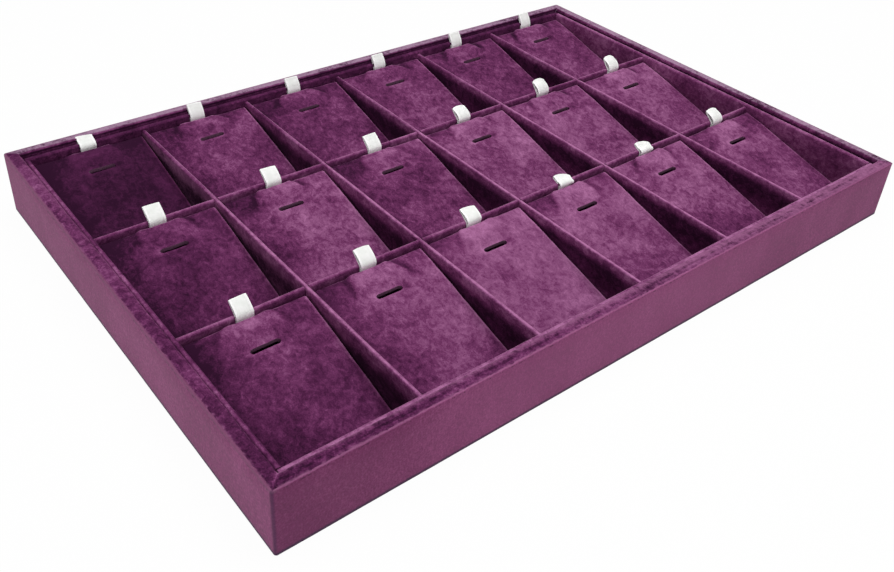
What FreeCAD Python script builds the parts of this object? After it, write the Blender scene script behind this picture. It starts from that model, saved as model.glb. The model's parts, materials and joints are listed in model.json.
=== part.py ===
import FreeCAD, Part
import os

import Sketcher

# A jewelry tray: a covered board shell, a velvet egg-crate insert and loose sloped pads with ribbon tabs.
# Millimetres, +Z up, origin under the middle of the tray, X along the long side, the front row at -Y.

SIZES = {
    # The shell: overall size, then its layers from the outside in.
    "tray_length": 350,
    "tray_width": 240,
    "tray_height": 30,
    "corner_round": 1.2,
    "leather_skin": 0.8,
    "leather_lip": 1.6,
    "wall_board": 4,
    "velvet_skin": 0.8,
    "cover_sheet": 0.6,
    "cover_gap": 0.2,
    "base_board": 1.8,
    # The drop-in insert: its frame, floor and crossed dividers.
    "insert_gap": 1,
    "insert_drop": 1.8,
    "frame_board": 2,
    "floor_liner": 0.9,
    "divider_board": 2,
    "divider_drop": 1.2,
    "lap_gap": 0.1,
    "column_count": 6,
    "row_count": 3,
    # The sloped pads: a folded board with a rear leg, a slot and two tucks.
    "pad_side_gap": 0.9,
    "pad_rear_gap": 1.5,
    "pad_front_gap": 3.2,
    "pad_drop": 1.3,
    "pad_toe": 4.2,
    "pad_board": 4.5,
    "pad_leg": 2,
    "pad_edge_round": 1,
    "slot_length": 12.5,
    "slot_width": 2.6,
    "slot_setback": 14.2,
    "tuck_spacing": 28,
    "tuck_setback": 7,
    "tuck_radius": 4,
    "tuck_depth": 0.8,
    # The ribbon tabs: glued to the leg, then bent back over the board behind, less so in the rear row.
    "ribbon_width": 7,
    "ribbon_fold": 0.8,
    "ribbon_tail": 11,
    "ribbon_bend": 1.8,
    "ribbon_bend_drop": 0.6,
    "ribbon_lean": 55,
    "rear_ribbon_lean": 30,
    "ribbon_reach": 5,
}

PLACES = {
    # Levels, from the table up.
    "base_top": "Sizes.cover_sheet + Sizes.base_board",
    "floor_top": "base_top + Sizes.floor_liner",
    "wall_top": "Sizes.tray_height - Sizes.leather_skin",
    "frame_top": "Sizes.tray_height - Sizes.insert_drop",
    "divider_top": "frame_top - Sizes.divider_drop",
    "divider_height": "divider_top - floor_top",
    # How far in from the outer face each layer of the wall begins.
    "lining_inset": "Sizes.leather_skin + Sizes.wall_board",
    "shell_inset": "lining_inset + Sizes.velvet_skin",
    "frame_inset": "shell_inset + Sizes.insert_gap",
    "room_inset": "frame_inset + Sizes.frame_board",
    # The room inside the insert frame, shared out into compartments.
    "room_length": "Sizes.tray_length - 2 * room_inset",
    "room_width": "Sizes.tray_width - 2 * room_inset",
    "column_pitch": "(room_length + Sizes.divider_board) / Sizes.column_count",
    "row_pitch": "(room_width + Sizes.divider_board) / Sizes.row_count",
    "lap_width": "Sizes.divider_board + 2 * Sizes.lap_gap",
    # One pad in its compartment.
    "pad_width": "column_pitch - Sizes.divider_board - 2 * Sizes.pad_side_gap",
    "pad_depth": "row_pitch - Sizes.divider_board - Sizes.pad_rear_gap - Sizes.pad_front_gap",
    "pad_rear_offset": "row_pitch / 2 - Sizes.divider_board / 2 - Sizes.pad_rear_gap",
    "pad_rise": "divider_top - Sizes.pad_drop - floor_top",
    "pad_slope": "(pad_rise - Sizes.pad_toe) / pad_depth",
    "tuck_level": "pad_rise - pad_slope * Sizes.tuck_setback + Sizes.tuck_radius - Sizes.tuck_depth",
    "ribbon_bend_level": "frame_top - Sizes.ribbon_bend_drop",
}

doc = FreeCAD.newDocument("JewelryTray")


def make_sheet(name, cells, prefix):
    sheet = doc.addObject("Spreadsheet::Sheet", name)
    for row, (alias, value) in enumerate(cells.items(), start=1):
        sheet.set(f"A{row}", alias)
        sheet.set(f"B{row}", f"{prefix}{value}")
        sheet.setAlias(f"B{row}", alias)
    doc.recompute()
    return sheet


sizes = make_sheet("Sizes", SIZES, "")
places = make_sheet("Places", PLACES, "=")
columns = int(sizes.column_count)
rows = int(sizes.row_count)
row_letters = "abcdefghijklmnopqrstuvwxyz"[:rows]
pieces = []


def bind(feature, **expressions):
    for prop, expression in expressions.items():
        feature.setExpression(prop.replace("__", "."), expression)


def place(feature, x="0", y="0", z="0"):
    bind(feature, Placement__Base__x=x, Placement__Base__y=y, Placement__Base__z=z)


def board(label, length, width, height, x="0", y="0", z="0"):
    """A plain board, given by its sizes and by the middle of its underside."""
    box = doc.addObject("Part::Box", label)
    bind(box, Length=length, Width=width, Height=height)
    place(box, f"{x} - ({length}) / 2", f"{y} - ({width}) / 2", z)
    pieces.append(box)
    return box


def origin_plane(body, role):
    return next(plane for plane in body.Origin.OriginFeatures if plane.Role == role)


def new_sketch(body, role, name):
    sketch = body.newObject("Sketcher::SketchObject", name)
    sketch.AttachmentSupport = [(origin_plane(body, role), "")]
    sketch.MapMode = "FlatFace"
    return sketch


def size_constraint(sketch, name, constraint, expression):
    index = sketch.addConstraint(constraint)
    sketch.renameConstraint(index, name)
    sketch.setExpression(f"Constraints.{name}", expression)


def draw_rectangle(sketch, width, height, centre_y="0"):
    """A rectangle about the sketch's vertical axis, with its middle at a height above the origin."""
    corners = [(-1, -1), (1, -1), (1, 1), (-1, 1)]
    points = [FreeCAD.Vector(x, y, 0) for x, y in corners]
    sides = [Part.LineSegment(points[i], points[(i + 1) % 4]) for i in range(4)]
    first = sketch.addGeometry(sides)[0]
    for i in range(4):
        sketch.addConstraint(Sketcher.Constraint("Coincident", first + i, 2, first + (i + 1) % 4, 1))
    sketch.addConstraint(Sketcher.Constraint("Vertical", first + 1))
    sketch.addConstraint(Sketcher.Constraint("Symmetric", first, 1, first, 2, -2))
    sketch.addConstraint(Sketcher.Constraint("Symmetric", first + 2, 1, first + 2, 2, -2))
    size_constraint(sketch, "wide", Sketcher.Constraint("DistanceX", first, 1, first, 2, 2), width)
    size_constraint(sketch, "high", Sketcher.Constraint("DistanceY", first + 1, 1, first + 1, 2, 2), height)
    lift = f"({centre_y}) + ({height}) / 2"
    size_constraint(sketch, "lift", Sketcher.Constraint("DistanceY", -1, 1, first + 1, 2, 1), lift)


def extrude(body, kind, sketch, length, side="One side", reverse=False):
    feature = body.newObject(f"PartDesign::{kind}", kind)
    feature.Profile = sketch
    feature.SideType = side
    feature.Reversed = reverse
    if length is None:
        feature.Type = "ThroughAll"
    else:
        bind(feature, Length=length)
    doc.recompute()
    return feature


def round_edges(body, feature, names, radius):
    fillet = body.newObject("PartDesign::Fillet", "Round")
    fillet.Base = (feature, names)
    bind(fillet, Radius=radius)
    doc.recompute()
    return fillet


def new_body(label):
    body = doc.addObject("PartDesign::Body", label)
    pieces.append(body)
    return body


# The leatherette cover: a tall thin band round the four walls, with a lip over the rim.
wrap = new_body("leather_wrap")
wrap_plan = new_sketch(wrap, "XY_Plane", "Plan")
draw_rectangle(wrap_plan, "Sizes.tray_length", "Sizes.tray_width")
wrap_block = extrude(wrap, "Pad", wrap_plan, "Sizes.tray_height")
upright = [f"Edge{i}" for i, edge in enumerate(wrap_block.Shape.Edges, 1)
           if abs(edge.tangentAt(edge.FirstParameter).z) > 0.9]
round_edges(wrap, wrap_block, upright, "Sizes.corner_round")
inner_length = "(Sizes.tray_length - 2 * Sizes.leather_skin)"
inner_width = "(Sizes.tray_width - 2 * Sizes.leather_skin)"
wrap_core = new_sketch(wrap, "XY_Plane", "Core")
draw_rectangle(wrap_core, inner_length, inner_width)
extrude(wrap, "Pocket", wrap_core, "Places.wall_top", reverse=True)
mouth_length = "Sizes.tray_length - 2 * Sizes.leather_lip"
mouth_width = "Sizes.tray_width - 2 * Sizes.leather_lip"
wrap_mouth = new_sketch(wrap, "XY_Plane", "Mouth")
draw_rectangle(wrap_mouth, mouth_length, mouth_width)
extrude(wrap, "Pocket", wrap_mouth, "Sizes.tray_height", reverse=True)

# The boards inside the cover: the underside sheet, the base and four butted walls standing on it.
board("base_cover", f"{inner_length} - 2 * Sizes.cover_gap", f"{inner_width} - 2 * Sizes.cover_gap",
      "Sizes.cover_sheet")
board("base_board", inner_length, inner_width, "Sizes.base_board", z="Sizes.cover_sheet")
wall_height = "(Places.wall_top - Places.base_top)"
for name, sign in (("front", "-"), ("rear", "")):
    middle = f"{sign}({inner_width} - Sizes.wall_board) / 2"
    board(f"wall_{name}", inner_length, "Sizes.wall_board", wall_height, y=middle, z="Places.base_top")
for name, sign in (("left", "-"), ("right", "")):
    middle = f"{sign}({inner_length} - Sizes.wall_board) / 2"
    board(f"wall_{name}", "Sizes.wall_board", f"{inner_width} - 2 * Sizes.wall_board", wall_height,
          x=middle, z="Places.base_top")


def mitred_strip(name, run, reach, outer, inner, low, high):
    """A strip along one wall with mitred ends, from one inset to another, drawn on the -Y side."""
    strip = doc.addObject("Part::Wedge", name)
    bind(strip, Xmin=f"({outer}) - ({run}) / 2", Xmax=f"({run}) / 2 - ({outer})")
    bind(strip, X2min=f"({inner}) - ({run}) / 2", X2max=f"({run}) / 2 - ({inner})")
    bind(strip, Ymin=f"({outer}) - ({reach}) / 2", Ymax=f"({inner}) - ({reach}) / 2")
    bind(strip, Zmin=low, Z2min=low, Zmax=high, Z2max=high)
    return strip


# The rim lining: velvet over the top of each wall and down its inside, mitred in the corners.
for name, turn in (("front", 0), ("right", 90), ("rear", 180), ("left", 270)):
    long_side = turn in (0, 180)
    run = "Sizes.tray_length" if long_side else "Sizes.tray_width"
    reach = "Sizes.tray_width" if long_side else "Sizes.tray_length"
    top = mitred_strip("RimTop", run, reach, "Sizes.leather_lip", "Places.shell_inset",
                       "Places.wall_top", "Sizes.tray_height")
    drop = mitred_strip("RimDrop", run, reach, "Places.lining_inset", "Places.shell_inset",
                        "Places.base_top", "Places.wall_top")
    lining = doc.addObject("Part::Fuse", f"rim_lining_{name}")
    lining.Base = top
    lining.Tool = drop
    lining.Refine = True
    lining.Placement.Rotation = FreeCAD.Rotation(FreeCAD.Vector(0, 0, 1), turn)
    pieces.append(lining)

# The insert: a floor and four butted frame boards, a gap inside the lining and a little lower than the rim.
frame_length = "(Sizes.tray_length - 2 * Places.frame_inset)"
frame_width = "(Sizes.tray_width - 2 * Places.frame_inset)"
board("insert_floor", frame_length, frame_width, "Sizes.floor_liner", z="Places.base_top")
frame_height = "(Places.frame_top - Places.floor_top)"
for name, sign in (("front", "-"), ("rear", "")):
    middle = f"{sign}({frame_width} - Sizes.frame_board) / 2"
    board(f"insert_{name}", frame_length, "Sizes.frame_board", frame_height, y=middle, z="Places.floor_top")
for name, sign in (("left", "-"), ("right", "")):
    middle = f"{sign}({frame_length} - Sizes.frame_board) / 2"
    board(f"insert_{name}", "Sizes.frame_board", "Places.room_width", frame_height, x=middle,
          z="Places.floor_top")


def lapped_divider(label, role, length, pitch, count, notch_middle):
    """A divider board with one half-deep notch for every board that it crosses."""
    body = new_body(label)
    outline = new_sketch(body, role, "Outline")
    draw_rectangle(outline, length, "Places.divider_height", "Places.divider_height / 2")
    extrude(body, "Pad", outline, "Sizes.divider_board", side="Symmetric")
    notch_sketch = new_sketch(body, role, "Notch")
    notch_height = "Places.divider_height / 2 + Sizes.lap_gap"
    draw_rectangle(notch_sketch, "Places.lap_width", notch_height, notch_middle)
    bind(notch_sketch, AttachmentOffset__Base__x=f"-({pitch}) * ({count} - 2) / 2")
    notch = extrude(body, "Pocket", notch_sketch, None, side="Symmetric")
    row = body.newObject("PartDesign::LinearPattern", "Notches")
    row.Originals = [notch]
    row.Direction = (notch_sketch, ["H_Axis"])
    bind(row, Length=f"({pitch}) * ({count} - 2)", Occurrences=f"{count} - 1")
    body.Tip = row
    doc.recompute()
    return body


# The dividers: column boards run through at the top, row boards are notched to let them down.
low_notch = "Places.divider_height / 4 - Sizes.lap_gap / 2"
high_notch = "Places.divider_height * 3 / 4 + Sizes.lap_gap / 2"
for i in range(1, columns):
    divider = lapped_divider(f"column_divider_{i}", "YZ_Plane", "Places.room_width", "Places.row_pitch",
                             "Sizes.row_count", low_notch)
    place(divider, x=f"Places.column_pitch * ({i} - Sizes.column_count / 2)", z="Places.floor_top")
for i in range(1, rows):
    divider = lapped_divider(f"row_divider_{i}", "XZ_Plane", "Places.room_length", "Places.column_pitch",
                             "Sizes.column_count", high_notch)
    place(divider, y=f"Places.row_pitch * (Sizes.row_count / 2 - {i})", z="Places.floor_top")


def chain_lines(sketch, points):
    """A closed outline through points, each side's end tied to the next side's start."""
    count = len(points)
    vectors = [FreeCAD.Vector(x, y, 0) for x, y in points]
    sides = [Part.LineSegment(vectors[i], vectors[(i + 1) % count]) for i in range(count)]
    sketch.addGeometry(sides)
    for i in range(count):
        sketch.addConstraint(Sketcher.Constraint("Coincident", i, 2, (i + 1) % count, 1))


def make_pad(label):
    """A folded pad: the ramp falls forward from the fold, a leg stands under it, and it is open below."""
    body = new_body(label)
    profile = new_sketch(body, "YZ_Plane", "Profile")
    depth = places.pad_depth
    rise = places.pad_rise
    leg = sizes.pad_leg
    fold_start = [(0, 0), (0, rise), (-depth, sizes.pad_toe), (-depth, 0)]
    underside_start = [(-depth + leg, 0), (-leg, rise - sizes.pad_board), (-leg, 0)]
    chain_lines(profile, fold_start + underside_start)
    rear, ramp, toe, sole, underside, leg_face, foot = range(7)
    profile.addConstraint(Sketcher.Constraint("Coincident", rear, 1, -1, 1))
    for side in (rear, toe, leg_face):
        profile.addConstraint(Sketcher.Constraint("Vertical", side))
    for side in (sole, foot):
        profile.addConstraint(Sketcher.Constraint("Horizontal", side))
    profile.addConstraint(Sketcher.Constraint("PointOnObject", sole, 2, -1))
    profile.addConstraint(Sketcher.Constraint("Parallel", ramp, underside))
    rear_height = Sketcher.Constraint("DistanceY", rear, 1, rear, 2, rise)
    size_constraint(profile, "rise", rear_height, "Places.pad_rise")
    whole_depth = Sketcher.Constraint("DistanceX", toe, 2, rear, 1, depth)
    size_constraint(profile, "depth", whole_depth, "Places.pad_depth")
    toe_height = Sketcher.Constraint("DistanceY", toe, 2, toe, 1, sizes.pad_toe)
    size_constraint(profile, "toe", toe_height, "Sizes.pad_toe")
    leg_thickness = Sketcher.Constraint("DistanceX", foot, 1, foot, 2, leg)
    size_constraint(profile, "leg", leg_thickness, "Sizes.pad_leg")
    board_thickness = Sketcher.Constraint("Distance", underside, 2, ramp, sizes.pad_board)
    size_constraint(profile, "board", board_thickness, "Sizes.pad_board")
    folded = extrude(body, "Pad", profile, "Places.pad_width", side="Symmetric")
    upward = [i for i, face in enumerate(folded.Shape.Faces, 1) if face.normalAt(0, 0).z > 0.5]
    round_edges(body, folded, [f"Face{i}" for i in upward], "Sizes.pad_edge_round")
    slot = new_sketch(body, "XY_Plane", "Slot")
    draw_rectangle(slot, "Sizes.slot_length", "Sizes.slot_width", "-Sizes.slot_setback")
    extrude(body, "Pocket", slot, None, side="Symmetric")
    for sign in ("-", ""):
        tuck = body.newObject("PartDesign::SubtractiveSphere", "Tuck")
        bind(tuck, Radius="Sizes.tuck_radius")
        place(tuck, f"{sign}Sizes.tuck_spacing / 2", "-Sizes.tuck_setback", "Places.tuck_level")
        doc.recompute()
    return body


def make_ribbon(label, lean):
    """A folded ribbon: a tail up the back of the pad, a bend, and a tab that leans back to a round fold."""
    wide = "Sizes.ribbon_width"
    thick = "Sizes.ribbon_fold"
    bend = "Sizes.ribbon_bend"
    tail = doc.addObject("Part::Box", "Tail")
    bind(tail, Length=wide, Width=thick, Height="Sizes.ribbon_tail")
    place(tail, f"-{wide} / 2", "0", "-Sizes.ribbon_tail")
    forward = FreeCAD.Vector(0, -1, 0)
    upward = FreeCAD.Vector(0, 0, 1)
    across = FreeCAD.Rotation(forward, upward, FreeCAD.Vector(-1, 0, 0), "XYZ")
    bend_parts = []
    for radius in (bend, f"{bend} - {thick}"):
        sector = doc.addObject("Part::Cylinder", "Sector")
        bind(sector, Radius=radius, Height=wide, Angle=lean)
        sector.Placement.Rotation = across
        place(sector, f"{wide} / 2", bend)
        bend_parts.append(sector)
    curve = doc.addObject("Part::Cut", "Bend")
    curve.Base, curve.Tool = bend_parts
    tab = doc.addObject("Part::Box", "Tab")
    bind(tab, Length=wide, Width=thick, Height="Sizes.ribbon_reach")
    tab.Placement.Rotation = FreeCAD.Rotation(FreeCAD.Vector(-1, 0, 0), 1)
    bind(tab, Placement__Rotation__Angle=lean)
    place(tab, f"-{wide} / 2", f"{bend} * (1 - cos({lean}))", f"{bend} * sin({lean})")
    fold = doc.addObject("Part::Cylinder", "Fold")
    bind(fold, Radius=f"{thick} / 2", Height=wide)
    fold.Placement.Rotation = across
    middle = f"({bend} - {thick} / 2)"
    place(fold, f"{wide} / 2", f"{bend} - {middle} * cos({lean}) + Sizes.ribbon_reach * sin({lean})",
          f"{middle} * sin({lean}) + Sizes.ribbon_reach * cos({lean})")
    ribbon = doc.addObject("Part::MultiFuse", label)
    ribbon.Shapes = [tail, curve, tab, fold]
    ribbon.Refine = True
    pieces.append(ribbon)
    return ribbon


# One pad and one ribbon in every compartment, rows lettered from the rear, columns numbered from the left.
for r, letter in enumerate(row_letters):
    rear_y = f"Places.row_pitch * ((Sizes.row_count - 1) / 2 - {r}) + Places.pad_rear_offset"
    lean = "Sizes.rear_ribbon_lean" if r == 0 else "Sizes.ribbon_lean"
    for c in range(1, columns + 1):
        middle_x = f"Places.column_pitch * ({c} - (Sizes.column_count + 1) / 2)"
        place(make_pad(f"pad_{letter}{c}"), middle_x, rear_y, "Places.floor_top")
        place(make_ribbon(f"ribbon_{letter}{c}", lean), middle_x, rear_y, "Places.ribbon_bend_level")

doc.recompute()
for feature in doc.Objects:
    if {"Invalid", "Error"} & set(feature.State):
        raise RuntimeError(f"{feature.Label} failed: {feature.State}")
for piece in pieces:
    shape = piece.Shape
    if shape.isNull() or not shape.isValid() or len(shape.Solids) != 1:
        raise RuntimeError(f"{piece.Label} is not one sound solid")

os.makedirs("parts", exist_ok=True)
for piece in pieces:
    piece.Shape.exportStep(f"parts/{piece.Label}.step")
print(f"{len(pieces)} pieces written")
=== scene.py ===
import json
import math
import random

import bpy
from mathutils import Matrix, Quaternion, Vector, noise

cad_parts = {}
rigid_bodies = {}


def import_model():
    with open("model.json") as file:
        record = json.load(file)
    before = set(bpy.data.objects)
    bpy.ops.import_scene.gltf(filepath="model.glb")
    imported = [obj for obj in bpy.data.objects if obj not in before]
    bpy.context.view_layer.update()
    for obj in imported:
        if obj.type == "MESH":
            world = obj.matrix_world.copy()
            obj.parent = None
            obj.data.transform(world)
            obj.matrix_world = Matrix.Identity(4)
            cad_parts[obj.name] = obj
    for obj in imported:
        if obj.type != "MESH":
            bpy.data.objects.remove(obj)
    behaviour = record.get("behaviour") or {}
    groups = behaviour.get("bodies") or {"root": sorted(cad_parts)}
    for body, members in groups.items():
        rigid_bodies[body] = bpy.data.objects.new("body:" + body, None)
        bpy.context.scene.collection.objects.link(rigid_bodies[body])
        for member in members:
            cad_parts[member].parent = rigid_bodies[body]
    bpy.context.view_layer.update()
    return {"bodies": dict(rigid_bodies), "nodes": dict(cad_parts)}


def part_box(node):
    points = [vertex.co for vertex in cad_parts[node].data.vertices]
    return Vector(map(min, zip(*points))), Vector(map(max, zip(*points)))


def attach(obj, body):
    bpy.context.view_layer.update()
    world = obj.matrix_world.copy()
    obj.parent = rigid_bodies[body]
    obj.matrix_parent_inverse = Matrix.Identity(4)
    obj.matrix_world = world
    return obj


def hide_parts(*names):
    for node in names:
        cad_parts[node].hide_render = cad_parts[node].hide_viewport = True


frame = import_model()

# The shell's boards: a base and four butted walls of raw fibreboard, glued into a shallow box.
# The covers hide them all round, so they keep the tan, flecked face that the board is sold with.
SHELL_BOARDS = ["base_board", "wall_front", "wall_rear", "wall_left", "wall_right"]
FIBRE_FLECK = 0.0016
FIBRE_DEPTH = 0.0002


def srgb(red, green, blue):
    """A colour as it is seen, 0 to 255, in the linear values that a shader takes."""
    levels = [level / 255 for level in (red, green, blue)]
    return (*[v / 12.92 if v <= 0.04045 else ((v + 0.055) / 1.055) ** 2.4 for v in levels], 1)


class Value:
    """A number, colour or vector that varies over a surface: one shader socket, with its arithmetic."""

    def __init__(self, tree, socket=None):
        self.tree = tree
        self.socket = socket

    def node(self, kind, settings=None, sockets=None, output=0):
        """Any other node: its settings first, then the values or links of its sockets."""
        made = self.tree.nodes.new(kind)
        for name, setting in (settings or {}).items():
            if name == "stops":
                for stop in setting[2:]:
                    made.color_ramp.elements.new(stop[0])
                for element, (at, colour) in zip(made.color_ramp.elements, setting):
                    element.position = at
                    element.color = colour
            else:
                setattr(made, name, setting)
        for name, given in (sockets or {}).items():
            if isinstance(given, Value):
                self.tree.links.new(given.socket, made.inputs[name])
            else:
                made.inputs[name].default_value = given
        return Value(self.tree, made.outputs[output])

    def maths(self, operation, first, second):
        return self.node("ShaderNodeMath", {"operation": operation}, {0: first, 1: second})

    def __add__(self, other):
        return self.maths("ADD", self, other)

    def __radd__(self, other):
        return self.maths("ADD", other, self)

    def __sub__(self, other):
        return self.maths("SUBTRACT", self, other)

    def __rsub__(self, other):
        return self.maths("SUBTRACT", other, self)

    def __mul__(self, other):
        return self.maths("MULTIPLY", self, other)

    def __rmul__(self, other):
        return self.maths("MULTIPLY", other, self)

    def least(self, other):
        return self.maths("MINIMUM", self, other)

    def most(self, other):
        return self.maths("MAXIMUM", self, other)

    def size(self):
        return self.node("ShaderNodeMath", {"operation": "ABSOLUTE"}, {0: self})

    def wave(self, length):
        """A sine of a distance, one full wave in each length."""
        return self.node("ShaderNodeMath", {"operation": "SINE"}, {0: self * (2 * math.pi / length)})

    def painted(self, name):
        """A number painted on the points of the mesh."""
        return self.node("ShaderNodeAttribute", {"attribute_name": name}, None, "Fac")

    def part(self, axis):
        return self.node("ShaderNodeSeparateXYZ", None, {"Vector": self}, axis)

    def stretched(self, x, y, z):
        return self.node("ShaderNodeMapping", None, {"Vector": self, "Scale": (x, y, z)})

    def noise(self, size, detail=2.0, roughness=0.5, distortion=0.0):
        sockets = {"Vector": self, "Scale": 1 / size, "Detail": detail, "Roughness": roughness}
        return self.node("ShaderNodeTexNoise", None, {**sockets, "Distortion": distortion}, "Fac")

    def rise(self, low, high):
        """0 up to low, 1 from high on, and smooth between."""
        sockets = {"Value": self, "From Min": low, "From Max": high}
        return self.node("ShaderNodeMapRange", {"interpolation_type": "SMOOTHSTEP"}, sockets, "Result")

    def ramp(self, *stops):
        return self.node("ShaderNodeValToRGB", {"stops": stops}, {"Fac": self}, "Color")

    def mix(self, low, high):
        """The colour low where this is 0 and high where it is 1."""
        return self.node("ShaderNodeMix", {"data_type": "RGBA"}, {0: self, 6: low, 7: high}, 2)

    def bump(self, depth, strength=1.0):
        sockets = {"Height": self, "Distance": depth, "Strength": strength}
        return self.node("ShaderNodeBump", None, sockets, "Normal")


def new_material(name):
    """An empty material and the place of a point on the piece, in metres."""
    material = bpy.data.materials.new(name)
    material.use_nodes = True
    material.node_tree.nodes.clear()
    place = Value(material.node_tree).node("ShaderNodeTexCoord", output="Object")
    return material, place


def surface(material, colour, sockets):
    """Ends a material in one principled surface."""
    any_value = Value(material.node_tree)
    shader = any_value.node("ShaderNodeBsdfPrincipled", None, {"Base Color": colour, **sockets}, "BSDF")
    output = material.node_tree.nodes.new("ShaderNodeOutputMaterial")
    material.node_tree.links.new(shader.socket, output.inputs["Surface"])
    return material


def dress(piece, material):
    piece.data.materials.clear()
    piece.data.materials.append(material)


fibreboard, place = new_material("raw_fibreboard")
flecks = place.stretched(1, 1, 4).noise(FIBRE_FLECK, detail=5, roughness=0.7)
tan = flecks.ramp((0.3, srgb(128, 104, 76)), (0.5, srgb(168, 142, 108)), (0.72, srgb(196, 172, 138)))
surface(fibreboard, tan, {"Roughness": 0.85, "Normal": flecks.bump(FIBRE_DEPTH, 0.5)})
for name in SHELL_BOARDS:
    dress(frame["nodes"][name], fibreboard)

# The underside sheet: dark flocked paper, cut a little smaller than the tray and glued over the base
# board, where it hides the turned-in leatherette and keeps the tray from scratching a counter.
FLOCK_GRAIN = 0.0005
FLOCK_PATCH = 0.02
FLOCK_DEPTH = 0.0002

flock, place = new_material("flocked_paper")
grain = place.noise(FLOCK_GRAIN, detail=3, roughness=0.7)
patches = place.noise(FLOCK_PATCH, detail=2)
black_plum = (grain * 0.7 + patches * 0.3).ramp((0.3, srgb(30, 20, 28)), (0.7, srgb(58, 40, 54)))
surface(flock, black_plum, {"Roughness": 0.95, "Sheen Weight": 0.2, "Normal": grain.bump(FLOCK_DEPTH, 0.6)})
dress(frame["nodes"]["base_cover"], flock)

# The outer cover: plum leatherette with a fine grain, wrapped round the four walls and turned over the
# rim. The front and rear panels lap the side ones, so a seam runs down each corner and fades.
LEATHER_EDGE = 0.0009
LEATHER_LIP_EDGE = 0.0003
LEATHER_STEP = 0.008
SEAM_SETBACK = 0.0009
SEAM_HALF = 0.0003
SEAM_DEPTH = 0.0003
SEAM_FADE = 0.25
LEATHER_GRAIN = 0.0007
LEATHER_DEPTH = 0.00012
LEATHER_CLOUD = 0.018
LEATHER_UNEVEN = 0.00008
UNEVEN_WAVES = 60
RAGGED_UP = 0.0008
RAGGED_IN = 0.0016
PANEL_FLAT = 0.0002
PANEL_REACH = (0.002, 0.001)
DARK_END = -0.1
LIGHT_LEFT = (-0.13, -0.07)
LIGHT_RIGHT = (0.12, 0.03)
EDGE_REACH = (0.003, 0.001)
EDGE_HIGHLIGHT_BAND = (0.0005, 0.0001)
SIDE_EDGE_LIGHT_BAND = (0.0013, 0.0005)
LIP_BAND = (0.001, 0.0006)
LIP_SHADE = (0.0002, 0.0012)
LIP_DEEP_SHADE = (0.0018, 0.0026)
TICK_FOOT = (0.0015, 0.001)
TICK_TOP = (0.0004, 0.0008)
CORNER_SHADE_REACH = (0.0014, 0.0004)
FOOT_SHADE_BAND = (0.0018, 0.0008)
HAIR = 1e-5


def work_on(piece):
    bpy.ops.object.select_all(action="DESELECT")
    piece.select_set(True)
    bpy.context.view_layer.objects.active = piece


def solid_copy(node, name):
    """A new piece that starts as a node's solid, its loose triangles merged into whole faces."""
    piece = bpy.data.objects.new(name, frame["nodes"][node].data.copy())
    bpy.context.scene.collection.objects.link(piece)
    work_on(piece)
    if piece.data.has_custom_normals:
        bpy.ops.mesh.customdata_custom_splitnormals_clear()
    bpy.ops.object.mode_set(mode="EDIT")
    bpy.ops.mesh.select_all(action="SELECT")
    bpy.ops.mesh.remove_doubles(threshold=1e-6)
    bpy.ops.mesh.dissolve_limited(angle_limit=math.radians(1))
    bpy.ops.object.mode_set(mode="OBJECT")
    return piece


def round_edges(piece, wanted, radius, segments):
    """Bevels the edges whose two ends pass a test."""
    work_on(piece)
    bpy.ops.object.mode_set(mode="EDIT")
    bpy.ops.mesh.select_mode(type="EDGE")
    bpy.ops.mesh.select_all(action="DESELECT")
    bpy.ops.object.mode_set(mode="OBJECT")
    points = piece.data.vertices
    for edge in piece.data.edges:
        edge.select = wanted(*(points[i].co for i in edge.vertices))
    bpy.ops.object.mode_set(mode="EDIT")
    bpy.ops.mesh.bevel(offset=radius, segments=segments, affect="EDGES", clamp_overlap=True)
    bpy.ops.object.mode_set(mode="OBJECT")


def slice_across(piece, axis, places):
    """Cuts the faces of a piece at places along one axis, so that it can take a gentle curve."""
    normal = Vector((0, 0, 0))
    normal[axis] = 1
    work_on(piece)
    bpy.ops.object.mode_set(mode="EDIT")
    for at in places:
        bpy.ops.mesh.select_all(action="SELECT")
        bpy.ops.mesh.bisect(plane_co=normal * at, plane_no=normal)
    bpy.ops.object.mode_set(mode="OBJECT")


def evenly(low, high, step):
    """Places between two ends, about a step apart and none at the ends."""
    count = max(1, round((high - low) / step))
    return [low + (high - low) * i / count for i in range(1, count)]


def smooth(piece, degrees=40):
    work_on(piece)
    bpy.ops.object.shade_smooth_by_angle(angle=math.radians(degrees))


tray_low, tray_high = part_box("leather_wrap")
cover = solid_copy("leather_wrap", "leather_cover")
round_edges(cover, lambda a, b: min(a.z, b.z) > tray_high.z - HAIR
            and all(max(abs(p.x) - tray_high.x, abs(p.y) - tray_high.y) > -LEATHER_LIP_EDGE for p in (a, b)),
            LEATHER_EDGE, 3)
slice_across(cover, 0, evenly(tray_low.x, tray_high.x, LEATHER_STEP))
slice_across(cover, 1, evenly(tray_low.y, tray_high.y, LEATHER_STEP))
slice_across(cover, 2, evenly(tray_low.z, tray_high.z, LEATHER_STEP))
for side in (tray_low.x, tray_high.x):
    seam = side - math.copysign(SEAM_SETBACK, side)
    slice_across(cover, 0, [seam - SEAM_HALF, seam, seam + SEAM_HALF])
for vertex in cover.data.vertices:
    spot = vertex.co
    outside = max(abs(spot.x) - tray_high.x, abs(spot.y) - tray_high.y) > -HAIR
    if outside:
        spot += vertex.normal * LEATHER_UNEVEN * noise.noise(spot * UNEVEN_WAVES)
    on_panel = abs(abs(spot.y) - tray_high.y) < PANEL_FLAT
    in_seam = abs(tray_high.x - SEAM_SETBACK - abs(spot.x)) < HAIR
    if on_panel and in_seam:
        fade = SEAM_FADE + (1 - SEAM_FADE) * (spot.z / tray_high.z)
        spot.y -= math.copysign(SEAM_DEPTH * fade, spot.y)
smooth(cover)


def inset(place):
    """How far a point lies inside the tray's outline, in plan: from a side, and from the front or rear."""
    return tray_high.x - place.part("X").size(), tray_high.y - place.part("Y").size()


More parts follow.
